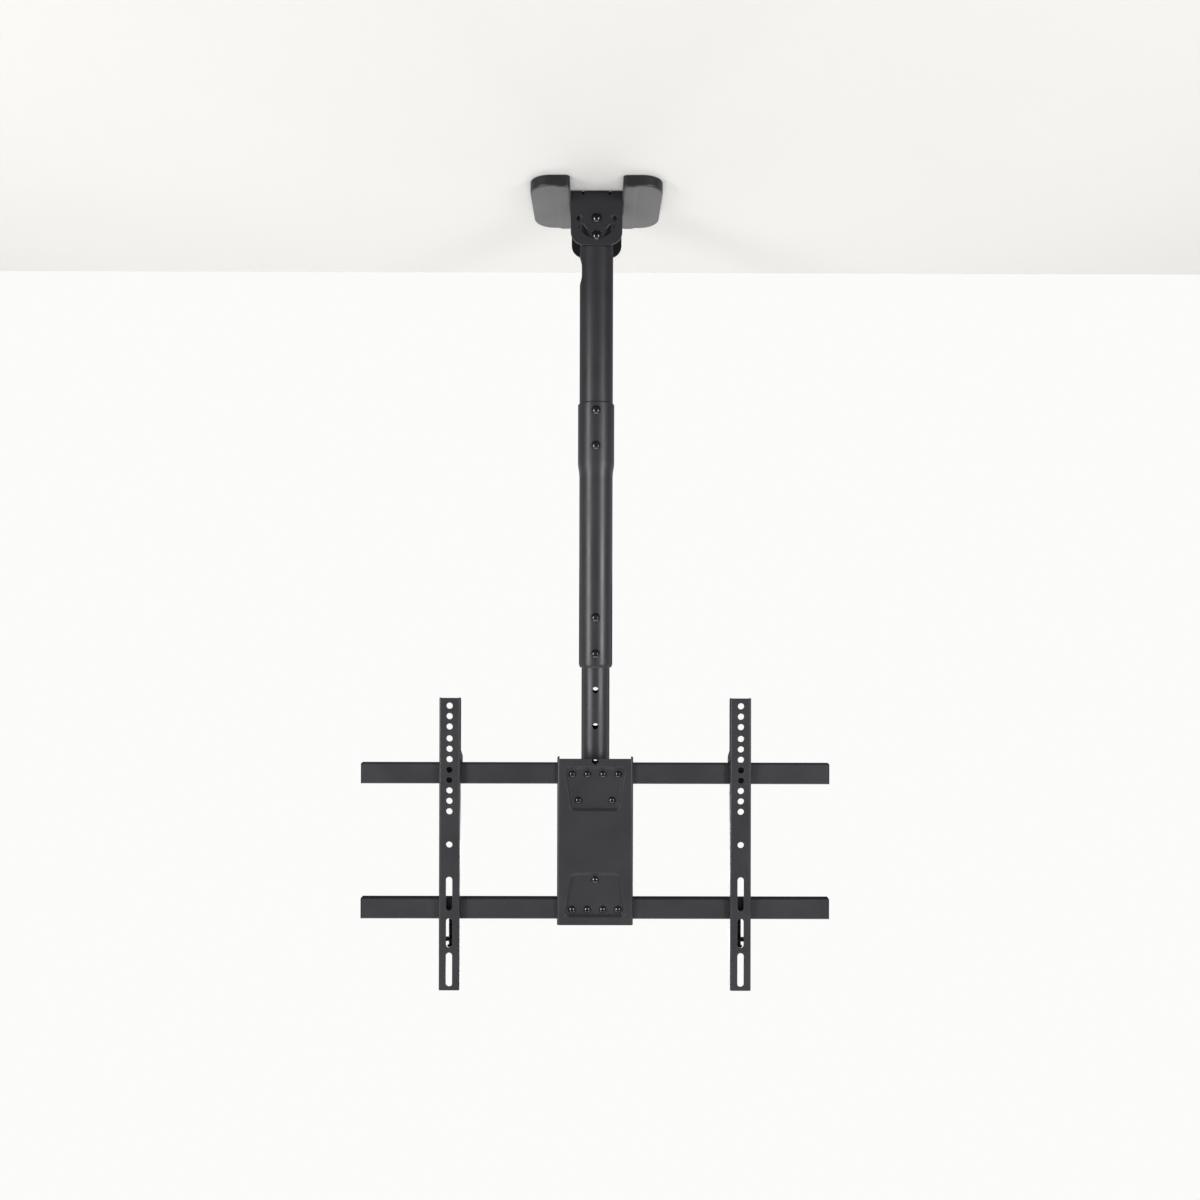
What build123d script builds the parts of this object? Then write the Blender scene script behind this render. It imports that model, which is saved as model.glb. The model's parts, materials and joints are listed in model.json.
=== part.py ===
"""Ceiling mount: a swinging telescopic pole with a tilting plate, half rails and two hooked arms.

Millimetres. The origin is on the ceiling, on the pole's axis. +Z is up and -Y is the front.
"""

import os
from math import radians, sqrt, tan

from build123d import *

# Fits, all radial or per side
running_clearance = 0.05
thread_clearance = 0.05
bolt_clearance = 0.5
side_clearance = 0.3
slip_clearance = 0.2
hook_clearance = 0.5

# Bolts of the poles and the tilt
bolt_d = 8
bolt_head_d = 14
bolt_head_h = 4.4
bolt_socket = 5
bolt_nut_flats = 13
bolt_nut_h = 8
washer_d = 16
washer_t = 1.6

# Screws of the rails, the tilt bracket and the arms
screw_d = 6
screw_head_d = 10.5
screw_head_h = 3.3
screw_socket = 4
screw_nut_flats = 10
screw_nut_h = 5

# Shared by all fasteners
thread_end = 1.5
point_chamfer = 0.6
head_rim = 0.7
head_flat_share = 0.45
socket_share = 0.6
nut_collar_share = 0.3
nut_collar_inset = 0.8

# Ceiling bracket
bracket_t = 3
wing_reach = 93.7
wing_depth = 147.4
wing_outer_r = 27
wing_inner_r = 5
ear_width = 76
ear_drop = 80.5
ear_corner_r = 19
bend_r = 2
pivot_drop = 41.5
pitch_lock_r = 25.5
pitch_swing = 60
anchor_x = 68
anchor_y = 48
anchor_d = 9
gusset_x = 20
gusset_leg = 7.5
gusset_w = 3.5
gusset_wall = 2

# Ceiling covers
cover_wall = 2
cover_h = 15.3
cover_step = 1.5
cover_step_x = 57
cover_step_run = 10
cover_outer_r = 30
cover_inner_r = 6
cover_edge_r = 2.5
cover_rib_y = 30
cover_rib_t = 1.6

# Poles
pole_od = 50
pole_wall = 2
pole_rise = 20.5
side_hole_w = 24.5
side_hole_h = 43
side_hole_drop = 69
swage_drop = 268.5
swage_length = 87.5
swage_taper = 22.5
swage_chamfer = 1.6
swage_seat = 2.5
coupling_first = 14
coupling_pitch = 52
middle_length = 394
neck_h = 6
neck_inset = 1.6
height_last = 21
height_pitch = 53.5
height_bolt_count = 2
height_hole_count = 5
lower_od = 42
lower_wall = 2
lower_top_margin = 29

# Tilt
tilt_below_holes = 81.5
tilt_lock_r = 40
tilt_forward = 15
tilt_back = 5
tilt_margin = 1
tilt_bracket_t = 3
tilt_ear_back = 18
tilt_ear_top = 20
tilt_ear_bottom = 63
tilt_ear_r = 14
tilt_tab_w = 66
tilt_tab_top = 46
tilt_tab_bottom = 97
lower_end_margin = 20

# Head plate
plate_w = 110
plate_h = 240
plate_sheet = 2.5
plate_front = 51.5
plate_flange = 23.2
plate_bend_r = 1.2
plate_below_tilt = 28.1
emboss_depth = 4
emboss_draft = 45
emboss_outer = 109
emboss_inner = 44.5
emboss_wide = 90.5
emboss_narrow = 69.5
emboss_r = 8
notch_w = 11
notch_depth = 8
upper_bracket_screw_x = 24.4
upper_bracket_screw_up = 59.5
lower_bracket_screw_down = 55.5

# Half rails
rail_reach = 340
rail_half_gap = 1
rail_h = 29.5
rail_depth = 14.5
rail_wall = 1.5
rail_r = 2
rail_spacing = 196
rails_below_middle = 0.7
rail_screw_xs = (11.2, 33.2)
cap_t = 2
cap_plug = 10
cap_plug_clearance = 0.1

# Arms
arm_x = 210
arm_w = 30
arm_length = 421
arm_sheet = 2
arm_front = 55
arm_flange = 12
arm_tail = 69.45
arm_bend_r = 0.5
arm_corner_r = 6
hook_h = 8
hook_lip = 9
hook_lip_t = 5
hook_slope = 11
hook_r = 4
rail_entry = 11
arm_hole_d = 9
arm_first_hole = 11.25
arm_hole_pitch = 15
arm_top_holes = 3
arm_row_start = 47.1
arm_row_holes = 8
screen_pitch = 200
arm_slots = ((139.05, 48.7), (82.35, 42.6), (29.75, 49))

# Safety screws under the lower rail
lock_tab_down = 30
lock_tab_t = 2.5
lock_tab_gap = 0.5
lock_tab_back = 6
lock_ear_h = 7
lock_head_down = 8

# Depths, from the pole's axis
pole_r = pole_od / 2
lower_r = lower_od / 2
ear_inner = pole_r + side_clearance
ear_outer = ear_inner + bracket_t
swage_r = pole_r + slip_clearance + pole_wall
emboss_back = -plate_front + emboss_depth + plate_sheet
emboss_floor = -plate_front + emboss_depth
rail_front = emboss_back
rail_back = rail_front + rail_depth
rail_mid_y = (rail_front + rail_back) / 2
bolt_hole_r = bolt_d / 2 + bolt_clearance
bolt_running_r = bolt_d / 2 + running_clearance
screw_hole_r = screw_d / 2 + bolt_clearance

# Heights, from the ceiling down
pivot_z = -pivot_drop
pitch_lock_z = pivot_z - pitch_lock_r
upper_top = pivot_z + pole_rise
swage_top = pivot_z - swage_drop
swage_bottom = swage_top - swage_length
upper_bottom = swage_bottom + swage_seat
coupling_zs = [swage_top - coupling_first - i * coupling_pitch for i in range(2)]
middle_bottom = swage_top - middle_length
height_first = middle_bottom + height_last + (height_bolt_count - 1) * height_pitch
height_zs = [height_first - i * height_pitch for i in range(height_hole_count)]
lower_top = height_first + lower_top_margin
tilt_z = height_zs[-1] - tilt_below_holes
tilt_lock_z = tilt_z - tilt_lock_r
lower_bottom = tilt_lock_z - lower_end_margin
plate_z = tilt_z - plate_below_tilt
plate_top = plate_z + plate_h / 2
rails_z = plate_z - rails_below_middle
upper_rail_z = rails_z + rail_spacing / 2
lower_rail_z = rails_z - rail_spacing / 2
upper_bracket_screw_z = plate_z + upper_bracket_screw_up
lower_bracket_screw_z = plate_z - lower_bracket_screw_down
lock_tab_top = lower_rail_z - rail_h / 2 - lock_tab_down
arm_bottom = lock_tab_top - arm_tail
arm_top = arm_bottom + arm_length

os.makedirs("parts", exist_ok=True)


def keep(piece, name):
    """Label a finished piece and write it to its own file."""
    piece.label = name
    export_step(piece, f"parts/{name}.step")


def facing_front(y):
    """Sketch plane at depth y that faces the front: its x is X, its y is Z."""
    return Plane.XZ.offset(-y)


def pointing_back(x, y, z):
    """Place for a fastener whose head is in front."""
    return Plane((x, y, z), z_dir=(0, 1, 0))


def pointing_right(x, y, z):
    """Place for a fastener whose head is on the left."""
    return Plane((x, y, z), z_dir=(1, 0, 0))


def s_bend_r(run, rise):
    """Radius of the two equal arcs that make a smooth step of this run and rise."""
    return (run**2 + rise**2) / (4 * rise)


def button_screw(diameter, length, head_d, head_h, socket):
    """Button-head screw: the head's underside lies on Z = 0 and the shank points up."""
    radius = diameter / 2
    head_r = head_d / 2
    flat_r = head_r * head_flat_share
    dome_z = (head_r**2 + head_rim**2 - flat_r**2 - head_h**2) / (2 * (head_h - head_rim))
    dome_r = sqrt(head_r**2 + (dome_z + head_rim) ** 2)
    with BuildPart() as screw:
        with BuildSketch(Plane.XZ):
            with BuildLine():
                Polyline(
                    (flat_r, -head_h),
                    (0, -head_h),
                    (0, length),
                    (radius - point_chamfer, length),
                    (radius, length - point_chamfer),
                    (radius, 0),
                    (head_r, 0),
                    (head_r, -head_rim),
                )
                RadiusArc((head_r, -head_rim), (flat_r, -head_h), dome_r)
            make_face()
        revolve(axis=Axis.Z)
        with BuildSketch(Plane.XY.offset(-head_h)):
            RegularPolygon(socket / 2, 6, major_radius=False)
        extrude(amount=head_h * socket_share, mode=Mode.SUBTRACT)
    return screw.part


def lock_nut(diameter, flats, height):
    """Hexagon nut with a round collar, seated on Z = 0."""
    hexagon_h = height * (1 - nut_collar_share)
    with BuildPart() as nut:
        with BuildSketch():
            RegularPolygon(flats / 2, 6, major_radius=False)
        extrude(amount=hexagon_h)
        with BuildSketch(Plane.XY.offset(hexagon_h)):
            Circle(flats / 2 - nut_collar_inset)
        extrude(amount=height - hexagon_h)
        with BuildSketch():
            Circle(diameter / 2 + thread_clearance)
        extrude(amount=height, mode=Mode.SUBTRACT)
    return nut.part


def pole_bolt(grip):
    """Bolt of the poles for a given thickness under its head."""
    length = grip + bolt_nut_h + thread_end
    return button_screw(bolt_d, length, bolt_head_d, bolt_head_h, bolt_socket)


def plate_screw(grip):
    """Screw of the head plate for a given thickness under its head."""
    length = grip + screw_nut_h + thread_end
    return button_screw(screw_d, length, screw_head_d, screw_head_h, screw_socket)


# Ceiling bracket: one sheet with two wings, and two ears bent down from the bridge between them
wing_start = ear_width / 2 + side_clearance + cover_wall + side_clearance
gusset_rib = gusset_leg + bracket_t * sqrt(2) - 2 * bracket_t
with BuildPart() as ceiling_bracket:
    with BuildSketch(Plane.YZ):
        with BuildLine():
            FilletPolyline(
                (-ear_outer, -ear_drop),
                (-ear_outer, 0),
                (ear_outer, 0),
                (ear_outer, -ear_drop),
                (ear_inner, -ear_drop),
                (ear_inner, -bracket_t),
                (-ear_inner, -bracket_t),
                (-ear_inner, -ear_drop),
                radius=[0, bend_r + bracket_t, bend_r + bracket_t, 0, 0, bend_r, bend_r, 0],
                close=True,
            )
        make_face()
    extrude(amount=ear_width / 2, both=True)
    fillet(ceiling_bracket.edges().filter_by(Axis.Y).group_by(Axis.Z)[0], ear_corner_r)
    with BuildSketch() as blank:
        with Locations(((wing_start + wing_reach) / 2, 0), (-(wing_start + wing_reach) / 2, 0)):
            Rectangle(wing_reach - wing_start, wing_depth)
        columns = blank.vertices().group_by(Axis.X)
        fillet(columns[0] + columns[-1], wing_outer_r)
        fillet(blank.vertices().sort_by(SortBy.DISTANCE)[:4], wing_inner_r)
        Rectangle(2 * wing_start + bracket_t, 2 * (ear_inner - bend_r))
        with GridLocations(2 * anchor_x, 2 * anchor_y, 2, 2):
            Circle(anchor_d / 2, mode=Mode.SUBTRACT)
    extrude(amount=-bracket_t)
    for side in (-1, 1):
        for end in (-1, 1):
            with BuildSketch(Plane.YZ.offset(side * gusset_x)):
                with BuildLine():
                    Polyline(
                        (end * ear_inner, -bracket_t),
                        (end * (ear_inner - gusset_rib), -bracket_t),
                        (end * ear_inner, -bracket_t - gusset_rib),
                        close=True,
                    )
                make_face()
            extrude(amount=gusset_w / 2 + gusset_wall, both=True)
            with BuildSketch(Plane.YZ.offset(side * gusset_x)):
                with BuildLine():
                    Polyline(
                        (end * ear_outer, 0),
                        (end * (ear_outer - gusset_leg), 0),
                        (end * ear_outer, -gusset_leg),
                        close=True,
                    )
                make_face()
            extrude(amount=gusset_w / 2, both=True, mode=Mode.SUBTRACT)
    with BuildSketch(Plane.XZ):
        with Locations((0, pivot_z)):
            Circle(bolt_running_r)
        with Locations((-pitch_lock_r, pivot_z), (pitch_lock_r, pivot_z)):
            Circle(bolt_hole_r)
        with BuildLine(mode=Mode.PRIVATE) as swing_arc:
            CenterArc((0, pivot_z), pitch_lock_r, -90 - pitch_swing, 2 * pitch_swing)
        SlotArc(swing_arc.edge(), 2 * bolt_hole_r)
    extrude(amount=ear_outer, both=True, mode=Mode.SUBTRACT)
keep(ceiling_bracket.part, "ceiling_bracket")


# Ceiling covers: shallow moulded trays that hide the wings, deeper beside the ears
cover_start = ear_width / 2 + side_clearance
cover_end = wing_reach + side_clearance + cover_wall
cover_half_depth = wing_depth / 2 + side_clearance + cover_wall
cover_low = cover_h + cover_step
step_start = cover_step_x - cover_step_run / 2
step_end = cover_step_x + cover_step_run / 2
step_turn = (cover_step_x, -cover_h - cover_step / 2)
step_bend_r = s_bend_r(cover_step_run, cover_step)
with BuildPart() as right_ceiling_cover:
    with BuildSketch(Plane.XZ):
        with BuildLine():
            Polyline(
                (step_start, -cover_low),
                (cover_start, -cover_low),
                (cover_start, 0),
                (cover_end, 0),
                (cover_end, -cover_h),
                (step_end, -cover_h),
            )
            RadiusArc((step_end, -cover_h), step_turn, -step_bend_r)
            RadiusArc(step_turn, (step_start, -cover_low), step_bend_r)
        make_face()
    extrude(amount=cover_half_depth, both=True)
    uprights = right_ceiling_cover.edges().filter_by(Axis.Z).group_by(Axis.X)
    fillet(uprights[-1], cover_outer_r)
    fillet(uprights[0], cover_inner_r)
    lower_edges = right_ceiling_cover.faces().filter_by(lambda face: face.normal_at().Z < -0.5).edges()
    step_lines = lower_edges.filter_by(Axis.Y).sort_by(Axis.X)[1:-1]
    fillet([edge for edge in lower_edges if edge not in step_lines], cover_edge_r)
    rim = right_ceiling_cover.faces().sort_by(Axis.Z)[-1]
    offset(amount=-cover_wall, openings=rim)
    with BuildSketch(Plane.XY):
        with Locations((cover_start, 0)):
            Rectangle(4 * cover_wall, 2 * (ear_inner - bend_r + side_clearance))
    extrude(amount=-bracket_t - side_clearance, mode=Mode.SUBTRACT)
    rib_end = cover_end - cover_wall
    with BuildSketch(Plane.XY.offset(-bracket_t)):
        with Locations(((step_end + rib_end) / 2, cover_rib_y), ((step_end + rib_end) / 2, -cover_rib_y)):
            Rectangle(rib_end - step_end, cover_rib_t)
    extrude(amount=-(cover_h - cover_wall - bracket_t))
keep(right_ceiling_cover.part, "right_ceiling_cover")

with BuildPart() as left_ceiling_cover:
    mirror(right_ceiling_cover.part, about=Plane.YZ)
keep(left_ceiling_cover.part, "left_ceiling_cover")


# Upper pole: plain tube that swings between the ears, with a hole into its bore in the left side
with BuildPart() as upper_pole:
    with BuildSketch(Plane.XY.offset(upper_top)):
        Circle(pole_r)
        Circle(pole_r - pole_wall, mode=Mode.SUBTRACT)
    extrude(amount=upper_bottom - upper_top)
    with BuildSketch(Plane.XZ):
        with Locations((0, pivot_z), (0, pitch_lock_z), *[(0, z) for z in coupling_zs]):
            Circle(bolt_hole_r)
    extrude(amount=pole_od, both=True, mode=Mode.SUBTRACT)
    with BuildSketch(Plane.YZ):
        with Locations((0, pivot_z - side_hole_drop)):
            SlotOverall(side_hole_h, side_hole_w, rotation=90)
    extrude(amount=-pole_od, mode=Mode.SUBTRACT)
keep(upper_pole.part, "upper_pole")


# Pivot and lock bolts of the swing, with washers behind the rear ear
swing_bolt_zs = (pivot_z, pitch_lock_z)
swing_bolt = pole_bolt(2 * ear_outer + washer_t)
with BuildPart() as swing_bolts:
    with Locations(*[pointing_back(0, -ear_outer, z) for z in swing_bolt_zs]):
        add(swing_bolt)
keep(swing_bolts.part, "swing_bolts")

with BuildPart() as swing_washers:
    with BuildSketch(facing_front(ear_outer)):
        with Locations(*[(0, z) for z in swing_bolt_zs]):
            Circle(washer_d / 2)
            Circle(bolt_d / 2 + slip_clearance, mode=Mode.SUBTRACT)
    extrude(amount=-washer_t)
keep(swing_washers.part, "swing_washers")


# Middle pole: swaged out to take the upper pole, rolled in at its lower end to guide the lower one
bore_r = pole_r - pole_wall
swage_bore_r = pole_r + slip_clearance
neck_bore_r = lower_r + slip_clearance
swage_growth = swage_r - pole_r
swage_bend_r = s_bend_r(swage_taper, swage_growth)
taper_end = swage_bottom - swage_taper
taper_middle = swage_bottom - swage_taper / 2
with BuildPart() as middle_pole:
    with BuildSketch(Plane.XZ):
        with BuildLine():
            Polyline(
                (swage_r, swage_bottom),
                (swage_r, swage_top - swage_chamfer),
                (swage_r - swage_chamfer, swage_top),
                (swage_bore_r, swage_top),
                (swage_bore_r, swage_bottom),
            )
            for narrow_r in (pole_r, bore_r):
                turn = (narrow_r + swage_growth / 2, taper_middle)
                RadiusArc((narrow_r + swage_growth, swage_bottom), turn, swage_bend_r)
                RadiusArc(turn, (narrow_r, taper_end), -swage_bend_r)
            Polyline(
                (bore_r, taper_end),
                (bore_r, middle_bottom + neck_h),
                (neck_bore_r, middle_bottom + neck_h - pole_wall),
                (neck_bore_r, middle_bottom),
                (pole_r - neck_inset, middle_bottom),
            )
            Line((pole_r, middle_bottom + neck_h), (pole_r, taper_end))
            TangentArc(
                (pole_r, middle_bottom + neck_h), (pole_r - neck_inset, middle_bottom), tangent=(0, -1)
            )
        make_face()
    revolve(axis=Axis.Z)
    with BuildSketch(Plane.XZ):
        with Locations(*[(0, z) for z in coupling_zs + height_zs[:height_bolt_count]]):
            Circle(bolt_hole_r)
    extrude(amount=pole_od, both=True, mode=Mode.SUBTRACT)
keep(middle_pole.part, "middle_pole")


# Lower pole: slides in the middle one and is bolted through one pair of its holes
with BuildPart() as lower_pole:
    with BuildSketch(Plane.XY.offset(lower_top)):
        Circle(lower_r)
        Circle(lower_r - lower_wall, mode=Mode.SUBTRACT)
    extrude(amount=lower_bottom - lower_top)
    with BuildSketch(Plane.XZ):
        with Locations(*[(0, z) for z in height_zs]):
            Circle(bolt_hole_r)
    extrude(amount=lower_od, both=True, mode=Mode.SUBTRACT)
    with BuildSketch(Plane.YZ):
        with Locations((0, tilt_z), (0, tilt_lock_z)):
            Circle(bolt_hole_r)
    extrude(amount=lower_od, both=True, mode=Mode.SUBTRACT)
keep(lower_pole.part, "lower_pole")


# Through bolts of the two pole joints
coupling_bolt = pole_bolt(2 * swage_r)
with BuildPart() as coupling_bolts:
    with Locations(*[pointing_back(0, -swage_r, z) for z in coupling_zs]):
        add(coupling_bolt)
keep(coupling_bolts.part, "coupling_bolts")

height_bolt_zs = height_zs[:height_bolt_count]
height_bolt = pole_bolt(2 * pole_r)
with BuildPart() as height_bolts:
    with Locations(*[pointing_back(0, -pole_r, z) for z in height_bolt_zs]):
        add(height_bolt)
keep(height_bolts.part, "height_bolts")


# Tilt bracket: a channel on the back of the plate whose ears straddle the lower pole
tilt_ear_inner = lower_r + side_clearance
tilt_ear_outer = tilt_ear_inner + tilt_bracket_t
bracket_front = emboss_back
bracket_back = bracket_front + tilt_bracket_t
bracket_screws_at = (
    (-upper_bracket_screw_x, upper_bracket_screw_z),
    (upper_bracket_screw_x, upper_bracket_screw_z),
    (0, lower_bracket_screw_z),
)
with BuildPart() as tilt_bracket:
    with BuildSketch(Plane.XY.offset(tilt_z - tilt_ear_bottom)):
        with BuildLine():
            FilletPolyline(
                (-tilt_ear_outer, tilt_ear_back),
                (-tilt_ear_outer, bracket_front),
                (tilt_ear_outer, bracket_front),
                (tilt_ear_outer, tilt_ear_back),
                (tilt_ear_inner, tilt_ear_back),
                (tilt_ear_inner, bracket_back),
                (-tilt_ear_inner, bracket_back),
                (-tilt_ear_inner, tilt_ear_back),
                radius=[0, bend_r + tilt_bracket_t, bend_r + tilt_bracket_t, 0, 0, bend_r, bend_r, 0],
                close=True,
            )
        make_face()
    extrude(amount=tilt_ear_top + tilt_ear_bottom)
    fillet(tilt_bracket.edges().filter_by(Axis.X).group_by(Axis.Y)[-1], tilt_ear_r)
    with BuildSketch(facing_front(bracket_front)):
        with Locations((0, tilt_z + tilt_ear_top)):
            Rectangle(tilt_tab_w, tilt_tab_top - tilt_ear_top, align=(Align.CENTER, Align.MIN))
        with Locations((0, tilt_z - tilt_ear_bottom + tilt_ear_r)):
            Rectangle(
                2 * (tilt_ear_inner - bend_r),
                tilt_tab_bottom - tilt_ear_bottom + tilt_ear_r,
                align=(Align.CENTER, Align.MAX),
            )
        with Locations((0, tilt_z + tilt_ear_top)):
            Rectangle(2 * (tilt_ear_inner - bend_r), 2 * tilt_ear_r)
        with Locations(*bracket_screws_at):
            Circle(screw_hole_r, mode=Mode.SUBTRACT)
    extrude(amount=-tilt_bracket_t)
    with BuildSketch(Plane.YZ):
        with Locations((0, tilt_z)):
            Circle(bolt_running_r)
        with BuildLine(mode=Mode.PRIVATE) as tilt_arc:
            CenterArc(
                (0, tilt_z),
                tilt_lock_r,
                -90 - tilt_forward - tilt_margin,
                tilt_forward + tilt_back + 2 * tilt_margin,
            )
        SlotArc(tilt_arc.edge(), 2 * bolt_hole_r)
    extrude(amount=tilt_ear_outer, both=True, mode=Mode.SUBTRACT)
keep(tilt_bracket.part, "tilt_bracket")


# Pivot and lock bolts of the tilt
tilt_bolt_zs = (tilt_z, tilt_lock_z)
tilt_bolt = pole_bolt(2 * tilt_ear_outer)
with BuildPart() as tilt_bolts:
    with Locations(*[pointing_right(-tilt_ear_outer, 0, z) for z in tilt_bolt_zs]):
        add(tilt_bolt)
keep(tilt_bolts.part, "tilt_bolts")


# Lock nuts of all the bolts that go through the poles
pole_nut = lock_nut(bolt_d, bolt_nut_flats, bolt_nut_h)
with BuildPart() as pole_nuts:
    with Locations(*[pointing_back(0, ear_outer + washer_t, z) for z in swing_bolt_zs]):
        add(pole_nut)
    with Locations(*[pointing_back(0, swage_r, z) for z in coupling_zs]):
        add(pole_nut)
    with Locations(*[pointing_back(0, pole_r, z) for z in height_bolt_zs]):
        add(pole_nut)
    with Locations(*[pointing_right(tilt_ear_outer, 0, z) for z in tilt_bolt_zs]):
        add(pole_nut)
keep(pole_nuts.part, "pole_nuts")


# Head plate: pressed sheet with two recessed fields, side flanges and a notch in its upper edge
plate_half = plate_w / 2
flange_back = -plate_front + plate_flange
emboss_margin = plate_sheet * tan(radians(45 - emboss_draft / 2))
rail_window_h = rail_h + 2 * hook_clearance
rail_window_front = rail_front - hook_clearance
rail_screws_at = [
    (side * x, z) for z in (upper_rail_z, lower_rail_z) for side in (-1, 1) for x in rail_screw_xs
]
with BuildPart() as head_plate:
    with BuildSketch(Plane.XY.offset(plate_z - plate_h / 2)):
        with BuildLine():
            FilletPolyline(
                (-plate_half, flange_back),
                (-plate_half, -plate_front),
                (plate_half, -plate_front),
                (plate_half, flange_back),
                (plate_half - plate_sheet, flange_back),
                (plate_half - plate_sheet, -plate_front + plate_sheet),
                (-plate_half + plate_sheet, -plate_front + plate_sheet),
                (-plate_half + plate_sheet, flange_back),
                radius=[
                    0,
                    plate_bend_r + plate_sheet,
                    plate_bend_r + plate_sheet,
                    0,
                    0,
                    plate_bend_r,
                    plate_bend_r,
                    0,
                ],
                close=True,
            )
        make_face()
    extrude(amount=plate_h)
    for end in (-1, 1):
        field = [
            (-emboss_wide / 2, plate_z + end * emboss_outer),
            (emboss_wide / 2, plate_z + end * emboss_outer),
            (emboss_narrow / 2, plate_z + end * emboss_inner),
            (-emboss_narrow / 2, plate_z + end * emboss_inner),
        ]
        with BuildSketch(facing_front(-plate_front + plate_sheet)):
            with BuildLine():
                FilletPolyline(*field, radius=emboss_r, close=True)
            make_face()
            offset(amount=emboss_margin)
        extrude(amount=-emboss_depth, taper=emboss_draft)
        with BuildSketch(facing_front(-plate_front)):
            with BuildLine():
                FilletPolyline(*field, radius=emboss_r, close=True)
            make_face()
        extrude(amount=-emboss_depth, taper=emboss_draft, mode=Mode.SUBTRACT)
    with BuildSketch(facing_front(emboss_back)):
        with Locations((0, plate_top)):
            SlotOverall(2 * notch_depth, notch_w, rotation=90)
        with Locations(*bracket_screws_at, *rail_screws_at):
            Circle(screw_hole_r)
    extrude(amount=plate_front, both=True, mode=Mode.SUBTRACT)
    with BuildSketch(facing_front(rail_window_front)):
        for z in (upper_rail_z, lower_rail_z):
            with Locations((-plate_half + plate_sheet / 2, z), (plate_half - plate_sheet / 2, z)):
                Rectangle(2 * plate_sheet, rail_window_h)
    extrude(amount=-plate_flange, mode=Mode.SUBTRACT)
keep(head_plate.part, "head_plate")


# Half rails: box section, open where they meet and capped at their outer ends
rail_tube_end = rail_reach - cap_t
rail_bore_r = rail_r - rail_wall
for row, row_z in (("upper", upper_rail_z), ("lower", lower_rail_z)):
    for hand, side in (("left", -1), ("right", 1)):
        with BuildPart() as rail:
            with BuildSketch(Plane.YZ.offset(side * rail_half_gap)):
                with Locations((rail_mid_y, row_z)):
                    RectangleRounded(rail_depth, rail_h, rail_r)
                    RectangleRounded(
                        rail_depth - 2 * rail_wall,
                        rail_h - 2 * rail_wall,
                        rail_bore_r,
                        mode=Mode.SUBTRACT,
                    )
            extrude(amount=side * (rail_tube_end - rail_half_gap))
            with BuildSketch(facing_front(rail_front)):
                with Locations(*[(side * x, row_z) for x in rail_screw_xs]):
                    Circle(screw_hole_r)
            extrude(amount=-rail_mid_y + rail_front, mode=Mode.SUBTRACT)
        keep(rail.part, f"{row}_{hand}_rail")

        with BuildPart() as cap:
            with BuildSketch(Plane.YZ.offset(side * rail_tube_end)):
                with Locations((rail_mid_y, row_z)):
                    RectangleRounded(rail_depth, rail_h, rail_r)
            extrude(amount=side * cap_t)
            with BuildSketch(Plane.YZ.offset(side * rail_tube_end)):
                with Locations((rail_mid_y, row_z)):
                    RectangleRounded(
                        rail_depth - 2 * (rail_wall + cap_plug_clearance),
                        rail_h - 2 * (rail_wall + cap_plug_clearance),
                        rail_bore_r,
                    )
            extrude(amount=-side * cap_plug)
        keep(cap.part, f"{row}_{hand}_rail_cap")


# Screws and nuts of the rails and of the tilt bracket
rail_screw = plate_screw(plate_sheet + rail_wall)
with BuildPart() as rail_screws:
    with Locations(*[pointing_back(x, emboss_floor, z) for x, z in rail_screws_at]):
        add(rail_screw)
keep(rail_screws.part, "rail_screws")

bracket_screw = plate_screw(plate_sheet + tilt_bracket_t)
with BuildPart() as bracket_screws:
    with Locations(*[pointing_back(x, emboss_floor, z) for x, z in bracket_screws_at]):
        add(bracket_screw)
keep(bracket_screws.part, "bracket_screws")

plate_nut = lock_nut(screw_d, screw_nut_flats, screw_nut_h)
with BuildPart() as plate_nuts:
    with Locations(*[pointing_back(x, rail_front + rail_wall, z) for x, z in rail_screws_at]):
        add(plate_nut)
    with Locations(*[pointing_back(x, bracket_back, z) for x, z in bracket_screws_at]):
        add(plate_nut)
keep(plate_nuts.part, "plate_nuts")


# Arms: channels whose flanges hook over the upper rail; a tab holds the screw that clamps the lower one
flange_edge = -arm_front + arm_flange
entry_front = rail_front - side_clearance
lip_front = rail_back + hook_clearance
lip_back = lip_front + hook_lip_t
upper_rail_top = upper_rail_z + rail_h / 2
upper_rail_bottom = upper_rail_z - rail_h / 2
lower_rail_top = lower_rail_z + rail_h / 2
lower_rail_bottom = lower_rail_z - rail_h / 2
lock_back = rail_mid_y + lock_tab_back
lock_tab_bottom = lock_tab_top - lock_tab_t
arm_profile = (
    (-arm_front, arm_top, 0),
    (flange_edge, arm_top, arm_corner_r),
    (flange_edge, upper_rail_top + hook_h + hook_slope, hook_r),
    (lip_back, upper_rail_top + hook_h, hook_r),
    (lip_back, upper_rail_top - hook_lip, 0),
    (lip_front, upper_rail_top - hook_lip, 0),
    (lip_front, upper_rail_top, 0),
    (entry_front, upper_rail_top, 0),
    (entry_front, upper_rail_bottom - rail_entry, 0),
    (flange_edge, upper_rail_bottom - rail_entry, 0),
    (flange_edge, lower_rail_top + hook_clearance, 0),
    (entry_front, lower_rail_top + hook_clearance, 0),
    (entry_front, lower_rail_bottom - rail_entry, 0),
    (flange_edge, lower_rail_bottom - rail_entry, 0),
    (lock_back, lock_tab_top + lock_ear_h, hook_r),
    (lock_back, lock_tab_bottom - lock_ear_h, hook_r),
    (flange_edge, lock_tab_bottom - lock_ear_h - hook_slope, hook_r),
    (flange_edge, arm_bottom, arm_corner_r),
    (-arm_front, arm_bottom, 0),
)
first_hole_z = arm_top - arm_first_hole
arm_hole_drops = (
    [i * arm_hole_pitch for i in range(arm_top_holes)]
    + [arm_row_start + i * arm_hole_pitch for i in range(arm_row_holes)]
    + [screen_pitch]
)
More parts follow.
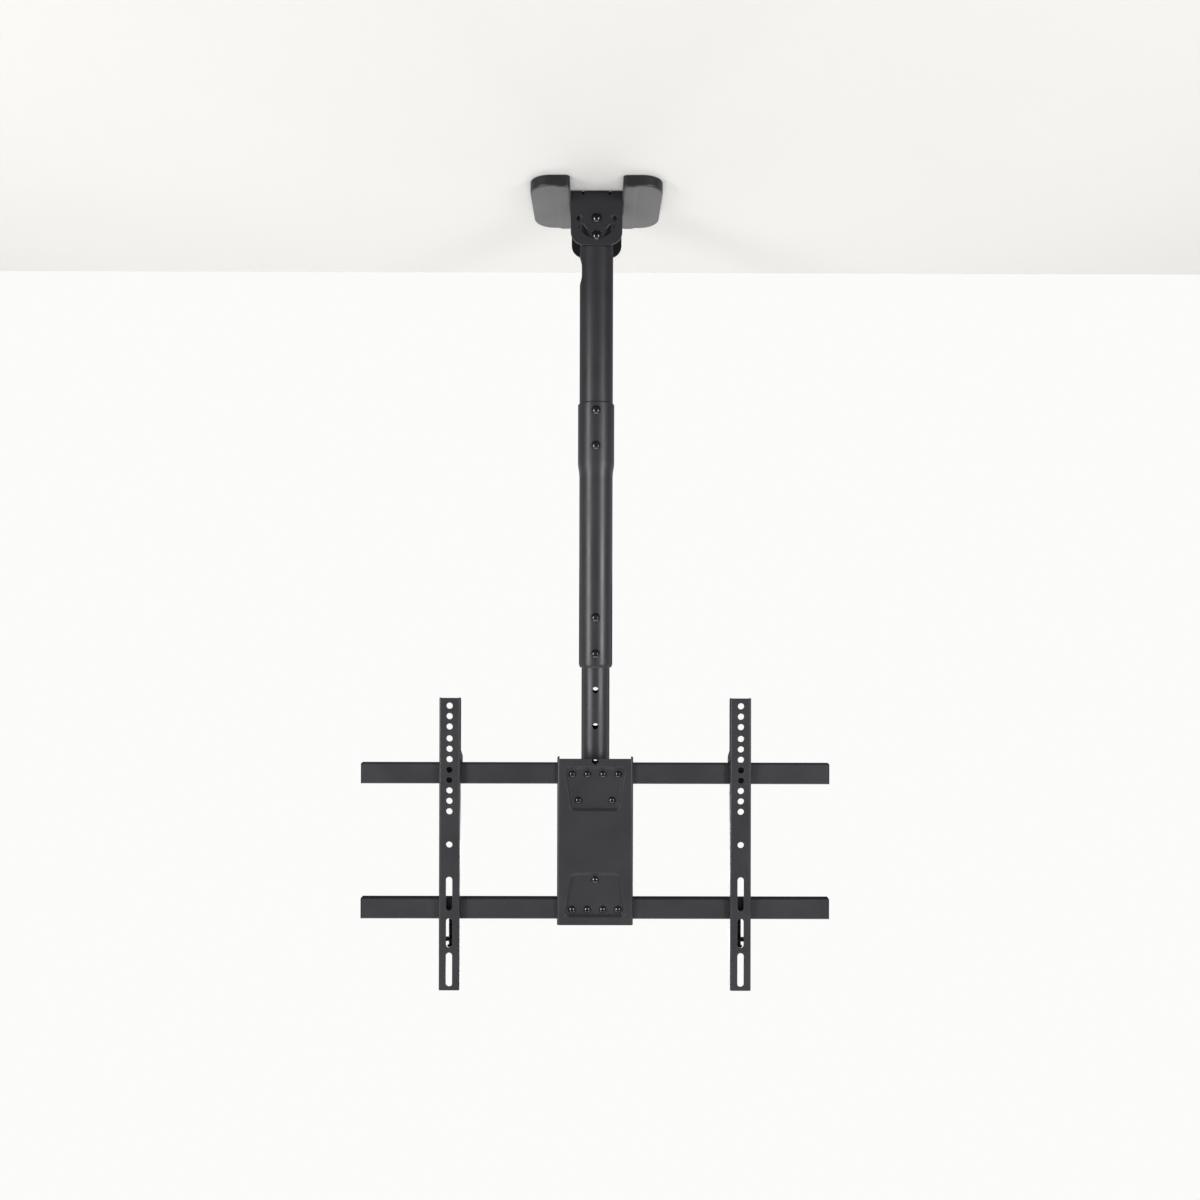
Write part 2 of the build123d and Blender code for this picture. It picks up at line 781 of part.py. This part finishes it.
for hand, side in (("left", -1), ("right", 1)):
    centre_x = side * arm_x
    with BuildPart() as arm:
        with BuildSketch(Plane.YZ.offset(centre_x)):
            with BuildLine():
                FilletPolyline(
                    *[(y, z) for y, z, r in arm_profile], radius=[r for y, z, r in arm_profile], close=True
                )
            make_face()
        extrude(amount=arm_w / 2, both=True)
        fillet(arm.edges().filter_by(Axis.Z).group_by(Axis.Y)[0], arm_bend_r + arm_sheet)
        with BuildSketch(facing_front(-arm_front + arm_sheet)):
            with Locations((centre_x, (arm_top + arm_bottom) / 2)):
                Rectangle(arm_w - 2 * arm_sheet, 2 * arm_length)
        extrude(amount=-2 * arm_front, mode=Mode.SUBTRACT)
        with BuildSketch(facing_front(-arm_front)):
            with Locations(*[(centre_x, first_hole_z - drop) for drop in arm_hole_drops]):
                Circle(arm_hole_d / 2)
            for rise, length in arm_slots:
                with Locations((centre_x, arm_bottom + rise)):
                    SlotOverall(length, arm_hole_d, rotation=90)
        extrude(amount=-arm_sheet, mode=Mode.SUBTRACT)
        with BuildSketch(Plane.XY.offset(lock_tab_top)):
            with Locations((centre_x - arm_w / 2 + arm_sheet, lock_back)):
                Rectangle(
                    arm_w - 2 * arm_sheet - lock_tab_gap,
                    2 * lock_tab_back,
                    align=(Align.MIN, Align.MAX),
                )
            with Locations((centre_x, rail_mid_y)):
                Circle(screw_d / 2 + thread_clearance, mode=Mode.SUBTRACT)
        extrude(amount=-lock_tab_t)
    keep(arm.part, f"{hand}_arm")

    lock_head_z = lock_tab_bottom - lock_head_down
    lock_length = lower_rail_bottom - running_clearance - lock_head_z
    safety_screw = button_screw(screw_d, lock_length, screw_head_d, screw_head_h, screw_socket)
    with BuildPart() as lock_screw:
        with Locations((centre_x, rail_mid_y, lock_head_z)):
            add(safety_screw)
    keep(lock_screw.part, f"{hand}_lock_screw")
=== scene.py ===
"""Looks of the ceiling mount: black coated steel, moulded covers and dark fasteners.

Metres, in the part's own frame. The origin is on the ceiling, +Z is up and -Y is the front.
"""

import json
from math import cos, pi, radians, sin, sqrt

import bmesh
import bpy
from mathutils import Matrix, Vector


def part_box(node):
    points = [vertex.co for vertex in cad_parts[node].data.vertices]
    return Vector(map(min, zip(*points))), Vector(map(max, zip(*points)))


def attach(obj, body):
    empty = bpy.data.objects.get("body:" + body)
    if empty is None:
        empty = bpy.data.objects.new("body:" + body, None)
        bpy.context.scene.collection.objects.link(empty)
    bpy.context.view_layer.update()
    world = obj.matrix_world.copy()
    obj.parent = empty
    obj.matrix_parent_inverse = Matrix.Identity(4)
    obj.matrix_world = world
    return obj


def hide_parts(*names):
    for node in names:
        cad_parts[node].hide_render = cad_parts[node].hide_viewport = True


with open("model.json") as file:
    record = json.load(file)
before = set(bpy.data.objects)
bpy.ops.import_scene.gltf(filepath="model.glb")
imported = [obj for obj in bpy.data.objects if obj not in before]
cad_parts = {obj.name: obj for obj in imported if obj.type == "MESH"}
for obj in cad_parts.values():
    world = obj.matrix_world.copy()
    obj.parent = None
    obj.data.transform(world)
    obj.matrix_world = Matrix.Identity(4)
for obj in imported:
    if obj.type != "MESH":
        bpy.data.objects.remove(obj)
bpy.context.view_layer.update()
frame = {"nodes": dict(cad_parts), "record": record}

MM = 0.001

# Camera, fitted to the photograph
camera_place = (0.0039, -1.4, -0.6054)
camera_yaw = -0.0018
camera_pitch = 0.0015
camera_roll = 0.0024
camera_lens = 28
sensor_width = 36

# Stage
ceiling_half_width = 1.5
ceiling_front = -0.75
ceiling_back = 0.32
ceiling_gap = 0.0005
ceiling_colour = (0.56, 0.553, 0.536)
ceiling_glow = 0.09
ceiling_bounce = 0.15
floor_z = -2.4
floor_half_width = 2.5
floor_front = -2.5
floor_back = 1.1
floor_colour = (0.84, 0.84, 0.83)
floor_glow = 0.2
floor_bounce = 1
paint_cloud_scale = 1.5
paint_darker = 0.97
paint_roughness = 0.9
flag_half_width = 0.9
flag_y = 0.8
flag_low = -1.05
flag_high = -0.55
cloth_weave_scale = 400
cloth_colour = (0.004, 0.004, 0.004)
cloth_pale = (0.008, 0.008, 0.008)

# Surround
surround_colour = (1, 0.998, 0.993)
white = 0.97
dim = 0.28
behind_from = 0.05
behind_full = 0.6
below_fade = 0.2

# Where most values of a noise texture lie
noise_middle = (0.3, 0.7)

# Grain and edges of all finishes; the pale edges are a painted highlight, partly rubbed wear
cloud_scale = 18
cloud_range = (0.35, 0.7)
cloud_share = 0.45
speck_scale = 2600
speck_range = (0.66, 0.74)
speck_share = 0.35
bump_strength = 0.35
edge_samples = 6
edge_from = 0.985
edge_full = 0.8
edge_highlight_strength = 0.65

# Painted shade between the ears of the ceiling bracket: a darker, duller colour where little light
# gets in
fold_inside = 25.5 * MM
fold_fade = 0.3 * MM
ear_gap_painted_shade = (0.003, 0.003, 0.0033)
ear_gap_painted_shade_roughness = 0.85

# Safety screws
screw_d = 6 * MM
screw_pitch = 1 * MM
screw_thread_depth = 0.55 * MM
screw_flank_slope = 1.6
screw_root_flat = 0.3
screw_head_d = 10.5 * MM
screw_head_h = 3.3 * MM
screw_socket = 4 * MM
screw_socket_depth = 2 * MM
screw_flat_share = 0.45
screw_rim = 0.7 * MM
screw_plain_length = 2 * MM
screw_point = 0.8 * MM
screw_sides = 36
hex_sides = 6
dome_steps = 8
turn_steps = 8
sharp_angle = radians(40)


# Shared surface effects

def new_group(name, inputs, outputs):
    """Empty shader node group with named sockets; returns it with its input and output nodes."""
    group = bpy.data.node_groups.new(name, "ShaderNodeTree")
    for socket, kind, default in inputs:
        made = group.interface.new_socket(socket, in_out="INPUT", socket_type=kind)
        made.default_value = default
    for socket, kind in outputs:
        group.interface.new_socket(socket, in_out="OUTPUT", socket_type=kind)
    entry = group.nodes.new("NodeGroupInput")
    exit_node = group.nodes.new("NodeGroupOutput")
    return group, entry, exit_node


def noise(tree, where, scale, detail=2.0, roughness=0.5):
    """Noise texture on the given coordinates; scale is a number or a socket."""
    node = tree.nodes.new("ShaderNodeTexNoise")
    tree.links.new(where, node.inputs["Vector"])
    if isinstance(scale, (int, float)):
        node.inputs["Scale"].default_value = scale
    else:
        tree.links.new(scale, node.inputs["Scale"])
    node.inputs["Detail"].default_value = detail
    node.inputs["Roughness"].default_value = roughness
    return node.outputs["Fac"]


def spread(tree, value, low, high, to_low, to_high):
    """Map a value from one range to another, held at the ends."""
    node = tree.nodes.new("ShaderNodeMapRange")
    tree.links.new(value, node.inputs["Value"])
    for socket, setting in (
        ("From Min", low),
        ("From Max", high),
        ("To Min", to_low),
        ("To Max", to_high),
    ):
        if isinstance(setting, (int, float)):
            node.inputs[socket].default_value = setting
        else:
            tree.links.new(setting, node.inputs[socket])
    return node.outputs["Result"]


def math_node(tree, operation, first, second):
    """Two-value math node; each value is a number or a socket."""
    node = tree.nodes.new("ShaderNodeMath")
    node.operation = operation
    for place, value in enumerate((first, second)):
        if isinstance(value, (int, float)):
            node.inputs[place].default_value = value
        else:
            tree.links.new(value, node.inputs[place])
    return node.outputs["Value"]


def mixed(tree, factor, first, second):
    """Colour mix of two sockets or colours by a factor socket."""
    node = tree.nodes.new("ShaderNodeMix")
    node.data_type = "RGBA"
    tree.links.new(factor, node.inputs["Factor"])
    for socket, value in (("A", first), ("B", second)):
        target = [s for s in node.inputs if s.name == socket and s.type == "RGBA"][0]
        if isinstance(value, bpy.types.NodeSocket):
            tree.links.new(value, target)
        else:
            target.default_value = (*value, 1)
    return [s for s in node.outputs if s.type == "RGBA"][0]


def build_grained_finish():
    """Fine grain of a sprayed or moulded skin: colour, roughness and the height of its texture."""
    group, entry, leave = new_group(
        "grained_finish",
        (
            ("Colour", "NodeSocketColor", (0.03, 0.03, 0.03, 1)),
            ("Pale Colour", "NodeSocketColor", (0.05, 0.05, 0.05, 1)),
            ("Grain Scale", "NodeSocketFloat", 1200),
            ("Low Roughness", "NodeSocketFloat", 0.4),
            ("High Roughness", "NodeSocketFloat", 0.5),
        ),
        (
            ("Colour", "NodeSocketColor"),
            ("Roughness", "NodeSocketFloat"),
            ("Height", "NodeSocketFloat"),
        ),
    )
    where = group.nodes.new("ShaderNodeTexCoord").outputs["Object"]
    peel = noise(group, where, entry.outputs["Grain Scale"], detail=3, roughness=0.6)
    cloud = noise(group, where, cloud_scale, detail=4, roughness=0.55)
    specks = noise(group, where, speck_scale, detail=1)
    speck_mask = spread(group, specks, *speck_range, 0, speck_share)
    cloud_mask = spread(group, cloud, *cloud_range, 0, cloud_share)
    mask = math_node(group, "MAXIMUM", speck_mask, cloud_mask)
    colour = mixed(group, mask, entry.outputs["Colour"], entry.outputs["Pale Colour"])
    rough = spread(
        group,
        cloud,
        *noise_middle,
        entry.outputs["Low Roughness"],
        entry.outputs["High Roughness"],
    )
    group.links.new(colour, leave.inputs["Colour"])
    group.links.new(rough, leave.inputs["Roughness"])
    group.links.new(peel, leave.inputs["Height"])
    return group


def build_edge_highlight_and_wear():
    """Mask of the outer edges, paled as a painted highlight and partly as rubbed wear, where a coat
    is thinner and handling polishes it.
    """
    group, entry, leave = new_group(
        "edge_highlight_and_wear",
        (("Width", "NodeSocketFloat", 0.6 * MM),),
        (("Edge", "NodeSocketFloat"), ("Soft Normal", "NodeSocketVector")),
    )
    rounded = group.nodes.new("ShaderNodeBevel")
    rounded.samples = edge_samples
    group.links.new(entry.outputs["Width"], rounded.inputs["Radius"])
    true_normal = group.nodes.new("ShaderNodeNewGeometry").outputs["Normal"]
    dot = group.nodes.new("ShaderNodeVectorMath")
    dot.operation = "DOT_PRODUCT"
    group.links.new(rounded.outputs["Normal"], dot.inputs[0])
    group.links.new(true_normal, dot.inputs[1])
    edge = spread(group, dot.outputs["Value"], edge_from, edge_full, 0, 1)
    group.links.new(edge, leave.inputs["Edge"])
    group.links.new(rounded.outputs["Normal"], leave.inputs["Soft Normal"])
    return group


grained_finish = build_grained_finish()
edge_highlight_and_wear = build_edge_highlight_and_wear()


# Materials

def new_material(name):
    """Material with an empty tree, its output and one Principled shader joined to it."""
    material = bpy.data.materials.new(name)
    material.use_nodes = True
    tree = material.node_tree
    tree.nodes.clear()
    output = tree.nodes.new("ShaderNodeOutputMaterial")
    shader = tree.nodes.new("ShaderNodeBsdfPrincipled")
    tree.links.new(shader.outputs["BSDF"], output.inputs["Surface"])
    return material, tree, shader


def placed_group(tree, group, **settings):
    """A shared group placed in a material, with its own input values."""
    node = tree.nodes.new("ShaderNodeGroup")
    node.node_tree = group
    for socket, value in settings.items():
        node.inputs[socket.replace("_", " ")].default_value = value
    return node


def skin(name, colour, pale, grain_scale, grain_height, roughness, edge_width, edge_highlight_and_wear_colour):
    """Grained finish with softened edges and a painted edge highlight; the base of every finish on
    the mount.
    """
    material, tree, shader = new_material(name)
    finish = placed_group(
        tree,
        grained_finish,
        Colour=(*colour, 1),
        Pale_Colour=(*pale, 1),
        Grain_Scale=grain_scale,
        Low_Roughness=roughness[0],
        High_Roughness=roughness[1],
    )
    edges = placed_group(tree, edge_highlight_and_wear, Width=edge_width)
    edge_highlight_share = math_node(tree, "MULTIPLY", edges.outputs["Edge"], edge_highlight_strength)
    # Painted highlight: the edges' colour is paled, partly as rubbed wear
    base = mixed(tree, edge_highlight_share, finish.outputs["Colour"], edge_highlight_and_wear_colour)
    bump = tree.nodes.new("ShaderNodeBump")
    bump.inputs["Strength"].default_value = bump_strength
    bump.inputs["Distance"].default_value = grain_height
    tree.links.new(finish.outputs["Height"], bump.inputs["Height"])
    tree.links.new(edges.outputs["Soft Normal"], bump.inputs["Normal"])
    tree.links.new(base, shader.inputs["Base Color"])
    tree.links.new(finish.outputs["Roughness"], shader.inputs["Roughness"])
    tree.links.new(bump.outputs["Normal"], shader.inputs["Normal"])
    return material, shader


def coat(name):
    """Black powder coat on the sheet steel and the tubes: satin, with a fine orange peel."""
    material, shader = skin(
        name,
        colour=(0.0222, 0.0222, 0.0258),
        pale=(0.0295, 0.0295, 0.0342),
        grain_scale=1100,
        grain_height=0.06 * MM,
        roughness=(0.34, 0.42),
        edge_width=0.7 * MM,
        edge_highlight_and_wear_colour=(0.1, 0.1, 0.106),
    )
    shader.inputs["IOR"].default_value = 1.45
    return material, shader


def make_black_coat():
    """The coat where the spray reaches everything."""
    return coat("black_coat")[0]


def make_bracket_coat_painted_shade():
    """The coat of the ceiling bracket, with painted shade between the ears: darker and dull there,
    where little light gets in.
    """
    material, shader = coat("bracket_coat_painted_shade")
    tree = material.node_tree
    place = tree.nodes.new("ShaderNodeSeparateXYZ")
    where = tree.nodes.new("ShaderNodeTexCoord").outputs["Object"]
    tree.links.new(where, place.inputs["Vector"])
    off_middle = math_node(tree, "ABSOLUTE", place.outputs["Y"], 0)
    inside = spread(tree, off_middle, fold_inside + fold_fade, fold_inside, 0, 1)
    coat_colour = shader.inputs["Base Color"].links[0].from_socket
    # Painted shade: the coat's colour is darkened between the ears
    tree.links.new(mixed(tree, inside, coat_colour, ear_gap_painted_shade), shader.inputs["Base Color"])
    satin = shader.inputs["Roughness"].links[0].from_socket
    dull = math_node(tree, "MULTIPLY", inside, ear_gap_painted_shade_roughness)
    tree.links.new(math_node(tree, "MAXIMUM", satin, dull), shader.inputs["Roughness"])
    return material


def make_black_plastic():
    """Moulded plastic of the ceiling covers: matte, with a spark-eroded grain."""
    material, shader = skin(
        "black_plastic",
        colour=(0.012, 0.012, 0.0134),
        pale=(0.017, 0.017, 0.0188),
        grain_scale=1700,
        grain_height=0.05 * MM,
        roughness=(0.36, 0.44),
        edge_width=0.9 * MM,
        edge_highlight_and_wear_colour=(0.05, 0.05, 0.053),
    )
    shader.inputs["IOR"].default_value = 1.5
    shader.inputs["Sheen Weight"].default_value = 0.24
    shader.inputs["Sheen Roughness"].default_value = 0.5
    shader.inputs["Sheen Tint"].default_value = (0.97, 0.97, 1, 1)
    return material


def make_cap_plastic():
    """Soft plastic of the rails' end caps: darker and duller than the rails."""
    material, shader = skin(
        "cap_plastic",
        colour=(0.005, 0.005, 0.0056),
        pale=(0.009, 0.009, 0.0098),
        grain_scale=1500,
        grain_height=0.05 * MM,
        roughness=(0.55, 0.66),
        edge_width=0.5 * MM,
        edge_highlight_and_wear_colour=(0.02, 0.02, 0.021),
    )
    shader.inputs["Specular IOR Level"].default_value = 0.3
    return material


def make_black_bolts():
    """Blackened bolts: near black, glossy under a thin film of oil."""
    material, shader = skin(
        "black_bolts",
        colour=(0.0025, 0.0025, 0.0028),
        pale=(0.006, 0.006, 0.0066),
        grain_scale=2400,
        grain_height=0.01 * MM,
        roughness=(0.16, 0.22),
        edge_width=0.35 * MM,
        edge_highlight_and_wear_colour=(0.02, 0.02, 0.022),
    )
    shader.inputs["Specular IOR Level"].default_value = 0.8
    return material


def make_black_nuts():
    """Blackened nuts and washers: duller than the bolts, with pale corners, partly bare metal and
    partly painted highlight.
    """
    material, shader = skin(
        "black_nuts",
        colour=(0.055, 0.055, 0.058),
        pale=(0.09, 0.09, 0.095),
        grain_scale=1900,
        grain_height=0.03 * MM,
        roughness=(0.34, 0.46),
        edge_width=0.4 * MM,
        edge_highlight_and_wear_colour=(0.2, 0.2, 0.21),
    )
    shader.inputs["Metallic"].default_value = 0.8
    return material


finishes = {
    "black_coat": make_black_coat(),
    "bracket_coat_painted_shade": make_bracket_coat_painted_shade(),
    "black_plastic": make_black_plastic(),
    "cap_plastic": make_cap_plastic(),
    "black_bolts": make_black_bolts(),
    "black_nuts": make_black_nuts(),
}

# Nodes that don't wear the plain finish of their slot
own_finish = {"ceiling_bracket": "bracket_coat_painted_shade"}


def dress_nodes():
    """Give every CAD node its own finish or that of its material slot."""
    for part in frame["record"]["subparts"]:
        slots = frame["nodes"][part["node"]].data.materials
        slots.clear()
        slots.append(finishes[own_finish.get(part["node"], part["material_slot"])])


dress_nodes()


# Safety screws, with the thread that the solids leave out

def ring(mesh, centre, radius, z, sides):
    """Ring of vertices round a vertical axis."""
    return [
        mesh.verts.new((centre.x + radius * cos(a), centre.y + radius * sin(a), z))
        for a in (2 * pi * i / sides for i in range(sides))
    ]


def band(mesh, lower, upper):
    """Quads between two rings of as many vertices."""
    count = len(lower)
    for i in range(count):
        mesh.faces.new((lower[i], lower[(i + 1) % count], upper[(i + 1) % count], upper[i]))


def thread_radius(z, angle, start, end, radius):
    """Radius of the shank at a height and an angle: a helix that fades in and out."""
    turn = (z / screw_pitch - angle / (2 * pi)) % 1
    ridge = 1 - abs(2 * turn - 1)
    cut = max(0, min(1, screw_flank_slope * ridge - screw_root_flat))
    fade = max(0, min(1, (z - start) / screw_pitch, (end - z) / screw_pitch))
    return radius - screw_thread_depth * (1 - cut) * fade


def make_safety_screw(name, node, body):
    """Button-head screw with a cut thread in the place of its plain solid."""
    low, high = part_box(node)
    centre = (low + high) / 2
    radius = screw_d / 2
    head_r = screw_head_d / 2
    flat_r = head_r * screw_flat_share
    head_top = low.z + screw_head_h
    mesh = bmesh.new()

    socket_floor = low.z + screw_socket_depth
    socket_r = screw_socket / (2 * cos(pi / hex_sides))
    hexagon = ring(mesh, centre, socket_r, low.z, hex_sides)
    hexagon_floor = ring(mesh, centre, socket_r, socket_floor, hex_sides)
    mesh.faces.new(hexagon_floor)
    for i in range(hex_sides):
        following = (i + 1) % hex_sides
        mesh.faces.new((hexagon[i], hexagon[following], hexagon_floor[following], hexagon_floor[i]))

    rim = ring(mesh, centre, flat_r, low.z, screw_sides)
    share = screw_sides // hex_sides
    for i in range(hex_sides):
        arc = [rim[(i * share + k) % screw_sides] for k in range(share + 1)]
        mesh.faces.new((hexagon[i], *arc, hexagon[(i + 1) % hex_sides]))

    dome_h = screw_head_h - screw_rim
    dome_deep = (head_r**2 - flat_r**2 - dome_h**2) / (2 * dome_h)
    dome_r = sqrt(head_r**2 + dome_deep**2)
    dome_z = head_top - screw_rim + dome_deep
    previous = rim
    for step in range(1, dome_steps + 1):
        r = flat_r + (head_r - flat_r) * step / dome_steps
        current = ring(mesh, centre, r, dome_z - sqrt(dome_r**2 - r**2), screw_sides)
        band(mesh, current, previous)
        previous = current
    for r in (head_r, radius):
        current = ring(mesh, centre, r, head_top, screw_sides)
        band(mesh, current, previous)
        previous = current

    start = head_top + screw_plain_length
    end = high.z - screw_point
    steps = round((end - start) / screw_pitch * turn_steps)
    for step in range(steps + 1):
        z = start + (end - start) * step / steps
        current = []
        for i in range(screw_sides):
            angle = 2 * pi * i / screw_sides
            r = thread_radius(z, angle, start, end, radius)
            x = centre.x + r * cos(angle)
            y = centre.y + r * sin(angle)
            current.append(mesh.verts.new((x, y, z)))
        band(mesh, current, previous)
        previous = current
    tip = ring(mesh, centre, radius - screw_point, high.z, screw_sides)
    band(mesh, tip, previous)
    mesh.faces.new(tip)

    bmesh.ops.recalc_face_normals(mesh, faces=mesh.faces)
    data = bpy.data.meshes.new(name)
    mesh.to_mesh(data)
    mesh.free()
    data.shade_smooth()
    data.set_sharp_from_angle(angle=sharp_angle)
    data.materials.append(finishes["black_bolts"])
    screw = bpy.data.objects.new(name, data)
    bpy.context.scene.collection.objects.link(screw)
    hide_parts(node)
    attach(screw, body)


for hand in ("left", "right"):
    make_safety_screw(f"{hand}_safety_screw", f"{hand}_lock_screw", f"{hand}_lock_screw")


# Stage: pale ceiling and floor, seen from the mount's side only, and a dark cloth behind

def panel(name, half_width, front, back, z, facing, material):
    """Level stage panel; facing is 1 for a panel seen from above and -1 for one seen from below."""
    sides = ((-1, front), (1, front), (1, back), (-1, back))
    corners = [(side * half_width, y, z) for side, y in sides]
    data = bpy.data.meshes.new(name)
    data.from_pydata(corners[::facing], [], [range(len(corners))])
    data.materials.append(material)
    made = bpy.data.objects.new(name, data)
    bpy.context.scene.collection.objects.link(made)


def make_stage_paint(name, colour, glow, bounce):
    """Pale matt paint, clear from behind.

    Glow lifts it where it is looked at; bounce is the share of its colour that lights the mount.
    """
    material, tree, shader = new_material(name)
    where = tree.nodes.new("ShaderNodeTexCoord").outputs["Object"]
    cloud = spread(tree, noise(tree, where, paint_cloud_scale, detail=3), *noise_middle, 0, 1)
    darker = tuple(paint_darker * c for c in colour)
    given_back = tuple(bounce * c for c in colour)
    looked_at = tree.nodes.new("ShaderNodeLightPath").outputs["Is Camera Ray"]
    base = mixed(tree, looked_at, given_back, mixed(tree, cloud, colour, darker))
    tree.links.new(base, shader.inputs["Base Color"])
    shader.inputs["Roughness"].default_value = paint_roughness
    shader.inputs["Emission Color"].default_value = (1, 1, 1, 1)
    tree.links.new(math_node(tree, "MULTIPLY", looked_at, glow), shader.inputs["Emission Strength"])
    clear = tree.nodes.new("ShaderNodeBsdfTransparent")
    side = tree.nodes.new("ShaderNodeMixShader")
    behind = tree.nodes.new("ShaderNodeNewGeometry").outputs["Backfacing"]
    output = [n for n in tree.nodes if n.type == "OUTPUT_MATERIAL"][0]
    tree.links.new(behind, side.inputs["Fac"])
    tree.links.new(shader.outputs["BSDF"], side.inputs[1])
    tree.links.new(clear.outputs["BSDF"], side.inputs[2])
    tree.links.new(side.outputs["Shader"], output.inputs["Surface"])
    return material


panel(
    "ceiling_panel",
    half_width=ceiling_half_width,
    front=ceiling_front,
    back=ceiling_back,
    z=ceiling_gap,
    facing=-1,
    material=make_stage_paint("ceiling_paint", ceiling_colour, ceiling_glow, ceiling_bounce),
)
panel(
    "floor_panel",
    half_width=floor_half_width,
    front=floor_front,
    back=floor_back,
    z=floor_z,
    facing=1,
    material=make_stage_paint("floor_paint", floor_colour, floor_glow, floor_bounce),
)


def make_flag():
    """Dark cloth behind the head, seen in gloss alone, to keep the rails' upper faces dark."""
    corners = [
        (-flag_half_width, flag_y, flag_low),
        (flag_half_width, flag_y, flag_low),
        (flag_half_width, flag_y, flag_high),
        (-flag_half_width, flag_y, flag_high),
    ]
    data = bpy.data.meshes.new("dark_flag")
    data.from_pydata(corners, [], [range(len(corners))])
    material, tree, shader = new_material("dark_cloth")
    where = tree.nodes.new("ShaderNodeTexCoord").outputs["Object"]
    weave = spread(tree, noise(tree, where, cloth_weave_scale), *noise_middle, 0, 1)
    tree.links.new(mixed(tree, weave, cloth_colour, cloth_pale), shader.inputs["Base Color"])
    shader.inputs["Roughness"].default_value = 1
    shader.inputs["Specular IOR Level"].default_value = 0
    data.materials.append(material)
    flag = bpy.data.objects.new("dark_flag", data)
    bpy.context.scene.collection.objects.link(flag)
    flag.visible_camera = False
    flag.visible_diffuse = False
    flag.visible_transmission = False
    flag.visible_shadow = False


make_flag()


# Light: a white surround, with softboxes below, behind and to both sides in front

def make_world():
    """White surround where it is looked at.

    As light on the mount it is white where it is both behind and below, and dim elsewhere.
    """
    world = bpy.data.worlds.new("white_surround")
    bpy.context.scene.world = world
    world.use_nodes = True
    tree = world.node_tree
    tree.nodes.clear()
    output = tree.nodes.new("ShaderNodeOutputWorld")
    surround = tree.nodes.new("ShaderNodeBackground")
    surround.inputs["Color"].default_value = (*surround_colour, 1)
    heading = tree.nodes.new("ShaderNodeSeparateXYZ")
    where = tree.nodes.new("ShaderNodeTexCoord").outputs["Generated"]
    tree.links.new(where, heading.inputs["Vector"])
    behind = spread(tree, heading.outputs["Y"], behind_from, behind_full, 0, 1)
    below = spread(tree, heading.outputs["Z"], below_fade, 0, 0, 1)
    rays = tree.nodes.new("ShaderNodeLightPath").outputs
    seen = math_node(tree, "MAXIMUM", rays["Is Camera Ray"], rays["Is Transmission Ray"])
    bright = math_node(tree, "MAXIMUM", seen, math_node(tree, "MULTIPLY", behind, below))
    tree.links.new(spread(tree, bright, 0, 1, dim, white), surround.inputs["Strength"])
    tree.links.new(surround.outputs["Background"], output.inputs["Surface"])


def softbox(name, place, target, width, height, power):
    """Rectangular lamp at a place, turned to a target and itself out of sight."""
    data = bpy.data.lights.new(name, "AREA")
    data.shape = "RECTANGLE"
    data.size = width
    data.size_y = height
    data.energy = power
    lamp = bpy.data.objects.new(name, data)
    lamp.location = place
    aim = Vector(target) - Vector(place)
    lamp.rotation_euler = aim.to_track_quat("-Z", "Y").to_euler()
    lamp.visible_camera = False
    bpy.context.scene.collection.objects.link(lamp)


make_world()
softbox(
    "under_softbox",
    place=(0, -0.25, -2.25),
    target=(0, -0.1, 0),
    width=3,
    height=2.4,
    power=31,
)
softbox(
    "right_softbox",
    place=(1.83, -1.83, -0.55),
    target=(0, 0, -0.6),
    width=0.6,
    height=1.2,
    power=45,
)
softbox(
    "left_softbox",
    place=(-1.84, -1.54, -0.6),
    target=(0, 0, -0.6),
    width=0.6,
    height=1.7,
    power=48,
)
softbox(
    "back_softbox",
    place=(0, 2.1, -1.9),
    target=(0, 0, -0.7),
    width=1.8,
    height=1,
    power=24,
)


# Camera

def make_camera():
    """Camera at the photograph's viewpoint."""
    data = bpy.data.cameras.new("camera")
    data.lens = camera_lens
    data.sensor_width = sensor_width
    camera = bpy.data.objects.new("camera", data)
    turn = (
        Matrix.Rotation(camera_yaw, 4, "Z")
        @ Matrix.Rotation(pi / 2 + camera_pitch, 4, "X")
        @ Matrix.Rotation(camera_roll, 4, "Z")
    )
    camera.matrix_world = Matrix.Translation(camera_place) @ turn
    bpy.context.scene.collection.objects.link(camera)
    bpy.context.scene.camera = camera


make_camera()
bpy.context.scene.view_settings.view_transform = "Standard"
